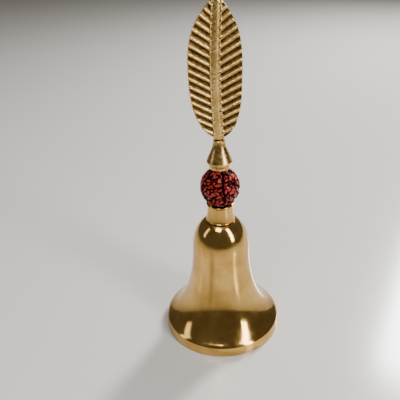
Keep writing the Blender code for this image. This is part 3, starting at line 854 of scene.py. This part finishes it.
def make_hand_filed_brass():
    """Cast brass filed to shape by hand and rubbed down, with file marks left across it."""
    brass = metal("hand_filed_brass", "#E2BF78", "#9A7036", 0.85, (0.16, 0.38), 5 * MM)
    strokes = add(brass.tree, "ShaderNodeMapping", {"Vector": brass.where, "Scale": FILE_STRETCH}, "Vector")
    marks = add(brass.tree, "ShaderNodeTexNoise",
                {"Vector": strokes, "Scale": per(1.1 * MM), "Detail": 5.0, "Roughness": 0.65}, "Fac")
    return with_relief(brass, marks, 0.07 * MM)


def make_cast_leaf_brass():
    """Sand-cast brass: crests, border and midrib rubbed bright; hollows left grainy and painted dark brown
    to near black, partly patina and partly painted shade.
    """
    brass = metal("cast_leaf_brass", "#E6C27C", "#B98C46", 0.7, (0.14, 0.3), 4 * MM)
    tree = brass.tree
    across_leaf = add(tree, "ShaderNodeSeparateXYZ", {"Vector": brass.where}, "Y")
    height = add(tree, "ShaderNodeMath", {0: across_leaf}, "Value", operation="ABSOLUTE")
    grain = add(tree, "ShaderNodeTexNoise",
                {"Vector": brass.where, "Scale": per(0.9 * MM), "Detail": 6.0, "Roughness": 0.7}, "Fac")
    uneven = add(tree, "ShaderNodeMapRange",
                 {"Value": grain, **ranges(*GRAIN_SPAN, -RUB_UNEVEN, RUB_UNEVEN)}, "Result")
    reach = add(tree, "ShaderNodeMath", {0: height, 1: uneven}, "Value", operation="ADD")
    rubbed = add(tree, "ShaderNodeMapRange",
                 {"Value": reach, **ranges(RUB_START, RUB_FULL, 0.0, 1.0)}, "Result")
    stain = add(tree, "ShaderNodeMapRange", {"Value": grain, **ranges(0.35, 0.65, 0.0, 1.0)}, "Result")
    # Hollow colour, near black to dark brown: partly patina, partly painted shade in the grooves between the
    # veins.
    hollow_patina_and_shade = add(tree, "ShaderNodeMix",
                 {0: stain, 6: colour("#1C0F05"), 7: colour("#7A5422")}, 2, data_type="RGBA")
    # Wherever the rubbed mask is low, off the crests, the leaf takes this painted shade colour instead of
    # bright brass.
    tone = add(tree, "ShaderNodeMix", {0: rubbed, 6: hollow_patina_and_shade, 7: brass.tone}, 2, data_type="RGBA")
    polish = add(tree, "ShaderNodeMix",
                 {0: rubbed, 2: HOLLOW_ROUGHNESS, 3: brass.polish}, 0, data_type="FLOAT")
    normal = add(tree, "ShaderNodeBump", {"Height": grain, "Distance": 0.16 * MM, "Strength": 0.9}, "Normal")
    join_up(tree, brass.shader, Base_Color=tone, Roughness=polish, Normal=normal)
    return brass.material


def make_drawn_brass_wire():
    """Drawn brass wire gone dull brown."""
    wire = metal("drawn_brass_wire", "#B98E48", "#6B4A20", 0.9, (0.28, 0.5), 3 * MM)
    return with_relief(wire, wire.patches, 0.03 * MM)


def make_zinc_plated_steel():
    """Zinc-plated steel with a greyish bloom."""
    steel = metal("zinc_plated_steel", "#C9CBC8", "#8E9190", 0.8, (0.24, 0.42), 3 * MM)
    return with_relief(steel, steel.patches, 0.02 * MM)


def make_rudraksha_seed():
    """Oiled rudraksha seed: seams and flanks painted near black to dark maroon, partly the seed's own colour
    and partly painted shade; ridge tops painted red, rubbed lighter in patches, partly their own colour and
    partly painted highlight; a waxy sheen.
    """
    material, tree, shader = new_material("rudraksha_seed", Coat_Roughness=0.2)
    where = add(tree, "ShaderNodeTexCoord", {}, "Object")
    ridge = add(tree, "ShaderNodeAttribute", {}, "Fac", attribute_name="ridge_height")
    mottle = add(tree, "ShaderNodeTexNoise",
                 {"Vector": where, "Scale": per(1.6 * MM), "Detail": 6.0, "Roughness": 0.65}, "Fac")
    skin = add(tree, "ShaderNodeTexNoise",
               {"Vector": where, "Scale": per(0.5 * MM), "Detail": 5.0, "Roughness": 0.6}, "Fac")

    lifted = add(tree, "ShaderNodeMapRange", {"Value": ridge, **ranges(0.1, 0.6, 0.0, 1.0)}, "Result")
    # Seams and flanks by ridge height, near black low down and dark maroon higher up: partly the seed's own
    # dark, partly painted shade.
    flank_dark_and_shade = add(tree, "ShaderNodeMix",
                {0: lifted, 6: colour("#0A0102"), 7: colour("#4A0A0A")}, 2, data_type="RGBA")
    rubbed = add(tree, "ShaderNodeMapRange", {"Value": mottle, **ranges(*TONE_SPAN, 0.0, 1.0)}, "Result")
    # Ridge tops in bright red: partly the seed's own colour, partly a painted highlight.
    crest_red_and_highlight = add(tree, "ShaderNodeMix",
                {0: rubbed, 6: colour("#841315"), 7: colour("#B82C22")}, 2, data_type="RGBA")
    # Only the highest part of each ridge gets the bright red with its painted highlight.
    topmost = add(tree, "ShaderNodeMapRange", {"Value": ridge, **ranges(0.55, 1.0, 0.0, 1.0)}, "Result")
    tone = add(tree, "ShaderNodeMix", {0: topmost, 6: flank_dark_and_shade, 7: crest_red_and_highlight}, 2, data_type="RGBA")
    polish = add(tree, "ShaderNodeMapRange", {"Value": mottle, **ranges(*GRAIN_SPAN, 0.3, 0.5)}, "Result")
    gloss = add(tree, "ShaderNodeMapRange", {"Value": ridge, **ranges(0.2, 0.9, 0.03, 0.35)}, "Result")
    wax = add(tree, "ShaderNodeMapRange", {"Value": ridge, **ranges(0.4, 0.9, 0.0, 0.25)}, "Result")
    normal = add(tree, "ShaderNodeBump", {"Height": skin, "Distance": 0.09 * MM, "Strength": 1.0}, "Normal")
    join_up(tree, shader, Base_Color=tone, Roughness=polish, Normal=normal, Specular_IOR_Level=gloss,
            Coat_Weight=wax)
    return material


polished_turned_brass = make_polished_turned_brass()
unpolished_inside_brass = make_unpolished_inside_brass()
hand_filed_brass = make_hand_filed_brass()
cast_leaf_brass = make_cast_leaf_brass()
drawn_brass_wire = make_drawn_brass_wire()
zinc_plated_steel = make_zinc_plated_steel()
rudraksha_seed = make_rudraksha_seed()

make_bell()
make_collar()
make_bead()
make_ferrule()
make_leaf()
make_eye_bolt()
make_washer()
make_nut()
make_link()
make_stem()
make_bob()

looks = {
    "bell_body": polished_turned_brass, "neck_collar": polished_turned_brass,
    "rudraksha_bead": rudraksha_seed, "taper_ferrule": hand_filed_brass, "leaf_handle": cast_leaf_brass,
    "eye_bolt": zinc_plated_steel, "crown_washer": zinc_plated_steel, "crown_nut": zinc_plated_steel,
    "clapper_link": drawn_brass_wire, "clapper_stem": drawn_brass_wire, "clapper_bob": hand_filed_brass,
}
for node_name, look in looks.items():
    for material_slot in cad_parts[node_name].material_slots:
        material_slot.material = look


# === floor, light and camera ======================================================================
def make_floor():
    """Plain pale floor, wide enough to fill the view and to be mirrored in the brass."""
    deselect()
    bpy.ops.mesh.primitive_plane_add(size=FLOOR_SIZE, location=ORIGIN)
    floor = bpy.context.object
    floor.name = "floor"
    material, tree, shader = new_material("pale_floor", Roughness=0.16)
    where = add(tree, "ShaderNodeTexCoord", {}, "Object")
    clouds = add(tree, "ShaderNodeTexNoise", {"Vector": where, "Scale": per(0.4), "Detail": 3.0}, "Fac")
    tone = add(tree, "ShaderNodeMix",
               {0: clouds, 6: colour("#D2CFC8"), 7: colour("#C9C6C0")}, 2, data_type="RGBA")
    join_up(tree, shader, Base_Color=tone)
    floor.data.materials.append(material)


def make_softbox(name, azimuth, elevation, distance, width, height, power):
    """Rectangular light aimed at the middle of the bell; azimuth 0 is the leaf's front, 90 its right."""
    aim = Vector((0, 0, (leaf_high.z + bell_low.z) / 2))
    around, up = math.radians(azimuth), math.radians(elevation)
    direction = Vector((math.sin(around) * math.cos(up), -math.cos(around) * math.cos(up), math.sin(up)))
    data = bpy.data.lights.new(name, "AREA")
    data.shape, data.size, data.size_y = "RECTANGLE", width, height
    data.energy = power
    lamp = bpy.data.objects.new(name, data)
    lamp.location = aim + direction * distance
    lamp.rotation_euler = direction.to_track_quat("Z", "Y").to_euler()
    bpy.context.scene.collection.objects.link(lamp)


def make_camera():
    lens = bpy.data.cameras.new("camera")
    lens.lens, lens.sensor_width = 45, 36
    lens.clip_start, lens.clip_end = 0.01, 20
    camera = bpy.data.objects.new("camera", lens)
    yaw, down, roll = CAMERA_YAW, CAMERA_DOWN, CAMERA_ROLL
    forward = Vector((math.sin(yaw) * math.cos(down), math.cos(yaw) * math.cos(down), -math.sin(down)))
    level = Vector((math.cos(yaw), -math.sin(yaw), 0))
    upright = level.cross(forward)
    right = math.cos(roll) * level + math.sin(roll) * upright
    up = -math.sin(roll) * level + math.cos(roll) * upright
    turn_to = Matrix((right, up, -forward)).transposed().to_4x4()
    camera.matrix_world = Matrix.Translation(CAMERA_PLACE) @ turn_to
    bpy.context.scene.collection.objects.link(camera)
    bpy.context.scene.camera = camera


make_floor()
for softbox in SOFTBOXES:
    make_softbox(*softbox)
world = bpy.data.worlds.new("dim_room")
world.use_nodes = True
world.node_tree.nodes["Background"].inputs["Color"].default_value = colour("#9C968C")
world.node_tree.nodes["Background"].inputs["Strength"].default_value = WORLD_STRENGTH
bpy.context.scene.world = world
make_camera()
